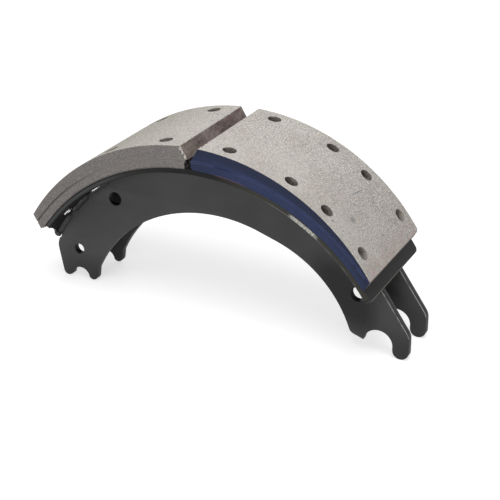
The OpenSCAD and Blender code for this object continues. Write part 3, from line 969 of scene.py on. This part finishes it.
def anchorLiningFinish():
    look = Finish("anchorLiningFinish", Specular_IOR_Level=0.2)
    radius, onFace, onSide = blockMasks(look)
    angle = look.turned(shoe["drumAxis"])
    height = look.fromAxis(shoe["tableAxis"]) - shoe["tableRadius"]
    face, grain = groundFace(look, angle)
    pink = look.rise(angle, *lining["pinkAngles"]) * look.rise(look.noise(130.0, 3.0), 0.35, 0.6)
    face = look.cover(face, lining["facePink"], pink * 0.45)
    arc = angle * math.radians(shoe["drumRadius"])
    line, dot, smudge = (look.patch(arc, look.along, *mark) for mark in lining["marks"])
    face = look.cover(face, lining["mark"], look.most(line * 0.7, dot) * 0.75)
    face = look.cover(face, lining["smudge"], smudge * 0.6)
    coarse = look.noise(lining["coarseScale"], 3.0, 0.65)
    end = look.cover(tone(lining["gapEnd"]), lining["endPale"], look.rise(coarse, 0.4, 0.65))
    nearEnd = 1 - look.rise(angle, *lining["nearEndAngles"])
    atEnd = look.most(nearEnd, look.rise(angle, *lining["outerEndAngles"]))
    inner = look.blend(boreTone(look, radius), end, atEnd)
    body = look.blend(inner, paintedSideTone(look, radius, angle, height), onSide)
    look.colour(look.blend(body, face, onFace))
    look.rough(0.88 - 0.28 * onSide)
    look.bump(grain * (1 - onSide) + coarse * 0.15, 0.0003, 0.4)
    return look.material


# chips along the edges of the blocks
chips = {
    "seed": 7,
    "edge": 30,  # how many along each block's upper edge at the gap
    "least": 0.0004,
    "most": 0.0011,
    "corner": 12,  # how many down the cam block's near corner
    "cornerMost": 0.0024,
    "top": (0.0096, 0.20933),  # across and up from the drum's axis
    "footUp": 0.1955,
    "squash": (0.7, 1.3),
    "rough": 0.16,
    "worn": 8,  # how many at a worn outer corner, smaller one by one
    "wornSize": 0.0015,
    "wornSpread": (0.85, 1.1),
    "wornStep": 0.0011,
}


def chipSpots(side):  # side is -1 for the cam block's gap end, 1 for the anchor block's
    draw = random.Random(chips["seed"] + side)
    topAcross, topUp = chips["top"]
    footAcross, footUp = lining["gapHalf"], chips["footUp"]
    half = shoe["sideFace"]
    spots = []
    for _ in range(chips["edge"]):
        place = fromDrum(side * topAcross, draw.uniform(-half, half), topUp)
        spots.append((place, draw.uniform(chips["least"], chips["most"])))
    if side < 0:
        for _ in range(chips["corner"]):
            share = draw.random()
            across = topAcross + (footAcross - topAcross) * share
            up = topUp + (footUp - topUp) * share
            size = draw.uniform(chips["most"], chips["cornerMost"])
            spots.append((fromDrum(side * across, -half, up), size))
    return spots


def wornCorner(node, lean, turn):  # bites along an edge, from the vertex that lies furthest along lean
    draw = random.Random(chips["seed"] + turn)
    corner = max((vert.co for vert in frame["nodes"][node].data.vertices), key=Vector(lean).dot)
    inward = -math.copysign(1, corner.y)
    spots = []
    for step in range(chips["worn"]):
        place = Vector((corner.x, corner.y + inward * step * chips["wornStep"], corner.z))
        size = chips["wornSize"] * (1 - step / chips["worn"]) * draw.uniform(*chips["wornSpread"])
        spots.append((place, size))
    return spots


def chippedBlock(name, node, spots, material):
    mesh = frame["nodes"][node].data.copy()
    mesh.materials.clear()
    mergePoints(mesh)
    piece = inScene(name + "Source", mesh)
    draw = random.Random(chips["seed"])
    work = bmesh.new()
    for place, size in spots:
        made = bmesh.ops.create_icosphere(work, subdivisions=2, radius=size)["verts"]
        squash = [draw.uniform(*chips["squash"]) for _ in range(3)]
        turn = Euler([draw.uniform(0, math.tau) for _ in range(3)]).to_matrix()
        for vert in made:
            rough = 1 + draw.uniform(-chips["rough"], chips["rough"])
            vert.co = place + turn @ Vector([c * k * rough for c, k in zip(vert.co, squash)])
    cutter = inScene("bites", meshOf(work, "bites"))
    modifier = piece.modifiers.new("bites", "BOOLEAN")
    modifier.operation = "DIFFERENCE"
    modifier.solver = "EXACT"
    modifier.use_self = True
    modifier.object = cutter
    block = meshFrom(piece, name)
    bpy.data.objects.remove(cutter)
    finishPiece(block, material, node)
    block.data.shade_flat()
    return block


nodes = frame["nodes"]
web = webPaint()
webEdgeShade = webEdgeShadePaint()
webCornerHighlight = webCornerHighlightPaint()
camFinish = camLiningFinish()
anchorFinish = anchorLiningFinish()
metal = rivetMetal()
dress(["table"], tablePaint())
dress(["front_web", "rear_web"], web)
welded = weldPaint()
dress(["front_web_welds", "rear_web_welds"], welded)
dress(["cam_lining"], camFinish)
dress(["anchor_lining"], anchorFinish)
dress([name for name in nodes if "_rivet_" in name], metal)
print("finishes made")

easedPlate("frontWebPlate", "front_web", web, webEdgeShade, webCornerHighlight)
easedPlate("rearWebPlate", "rear_web", web, webEdgeShade, webCornerHighlight)
print("webs eased")

stitches = stitchSteps()
weldRuns(stitches, "frontWeldRuns", -1, "front_web_welds", welded)
weldRuns(stitches, "rearWeldRuns", 1, "rear_web_welds", welded)
print("welds laid")

rows = rivetSteps()
rivetRows(rows, "camRivets", -1, rivet["camRows"], metal)
rivetRows(rows, "anchorRivets", 1, rivet["anchorRows"], metal)
print("rivets set")

camChips = chipSpots(-1) + wornCorner("cam_lining", (0, -0.05, -1), 1)
anchorChips = chipSpots(1) + wornCorner("anchor_lining", (1, 0.05, 0), 2)
chippedBlock("camBlock", "cam_lining", camChips, camFinish)
chippedBlock("anchorBlock", "anchor_lining", anchorChips, anchorFinish)
print("blocks chipped")

# floor, light and camera
studio = {
    "floor": 0.5,
    "floorLift": 0.62,
    "floorFade": (0.5, 1.3),  # metres from the middle of the shoe
    "floorReach": 6.0,
    "skyStrength": 0.38,
    "cameraPlace": (0.338347, -1.03466, 0.593155),
    "cameraTurn": (64.5908, -1.7067, 25.916),
    "lens": 93.99,
    "sensor": 36,
    "farthest": 50,
    "lamps": [
        {"name": "keyLamp", "place": (0.1, -0.6, 1.9), "size": 1.3, "power": 27},
        {"name": "frontLamp", "place": (0.1, -2.2, 0.6), "size": 1.1, "power": 17},
        {"name": "backLamp", "place": (-0.9, 2.1, 1.0), "size": 1.6, "power": 16},
    ],
}


def seenDirectly(tree):  # 1 for what the camera sees straight on, or in a gloss or through glass
    path = tree.nodes.new("ShaderNodeLightPath")
    total = path.outputs["Is Camera Ray"]
    for kind in ("Is Glossy Ray", "Is Transmission Ray"):
        either = tree.nodes.new("ShaderNodeMath")
        either.operation = "MAXIMUM"
        tree.links.new(total, either.inputs[0])
        tree.links.new(path.outputs[kind], either.inputs[1])
        total = either.outputs[0]
    return total


def floorWhite(middle):  # keeps the shadow near the shoe and turns white further out
    look = Finish("floorWhite", Roughness=1.0, Specular_IOR_Level=0.0, Emission_Strength=1.0)
    look.colour((studio["floor"],) * 3 + (1,))
    sideways, along = look.across - middle.x, look.along - middle.y
    far = look.rise((sideways * sideways + along * along) ** 0.5, *studio["floorFade"])
    lift = studio["floorLift"] + (1 - studio["floorLift"]) * far
    lift = lift * Wire(look, seenDirectly(look.tree))
    look.feed(look.shader.inputs["Emission Color"], look.blend((0, 0, 0, 1), (1, 1, 1, 1), lift))
    return look.material


def paleFloor():
    low, high = cadBox
    middle = (low + high) / 2
    mesh = bpy.data.meshes.new("floor")
    reach = studio["floorReach"]
    corners = [(-reach, -reach), (reach, -reach), (reach, reach), (-reach, reach)]
    mesh.from_pydata([(middle.x + x, middle.y + y, low.z) for x, y in corners], [], [(0, 1, 2, 3)])
    floor = inScene("floor", mesh)
    mesh.materials.append(floorWhite(middle))


def whiteSky():
    world = bpy.data.worlds.new("studioSky")
    bpy.context.scene.world = world
    world.use_nodes = True
    tree = world.node_tree
    sky = tree.nodes["Background"]
    sky.inputs["Color"].default_value = (1, 1, 1, 1)
    strength = tree.nodes.new("ShaderNodeMapRange")
    tree.links.new(seenDirectly(tree), strength.inputs["Value"])
    strength.inputs["To Min"].default_value = studio["skyStrength"]
    strength.inputs["To Max"].default_value = 1.0
    tree.links.new(strength.outputs[0], sky.inputs["Strength"])


def softLamps():
    low, high = cadBox
    middle = (low + high) / 2
    for lamp in studio["lamps"]:
        data = bpy.data.lights.new(lamp["name"], "AREA")
        data.shape = "DISK"
        data.size = lamp["size"]
        data.energy = lamp["power"]
        holder = inScene(lamp["name"], data)
        holder.location = lamp["place"]
        holder.rotation_euler = (middle - holder.location).to_track_quat("-Z", "Y").to_euler()


def placeCamera():
    data = bpy.data.cameras.new("camera")
    data.lens = studio["lens"]
    data.sensor_width = studio["sensor"]
    data.clip_end = studio["farthest"]
    camera = inScene("camera", data)
    camera.location = studio["cameraPlace"]
    camera.rotation_euler = Euler([math.radians(a) for a in studio["cameraTurn"]])
    bpy.context.scene.camera = camera


paleFloor()
whiteSky()
softLamps()
placeCamera()
bpy.context.scene.view_settings.view_transform = "Standard"
print("studio set")
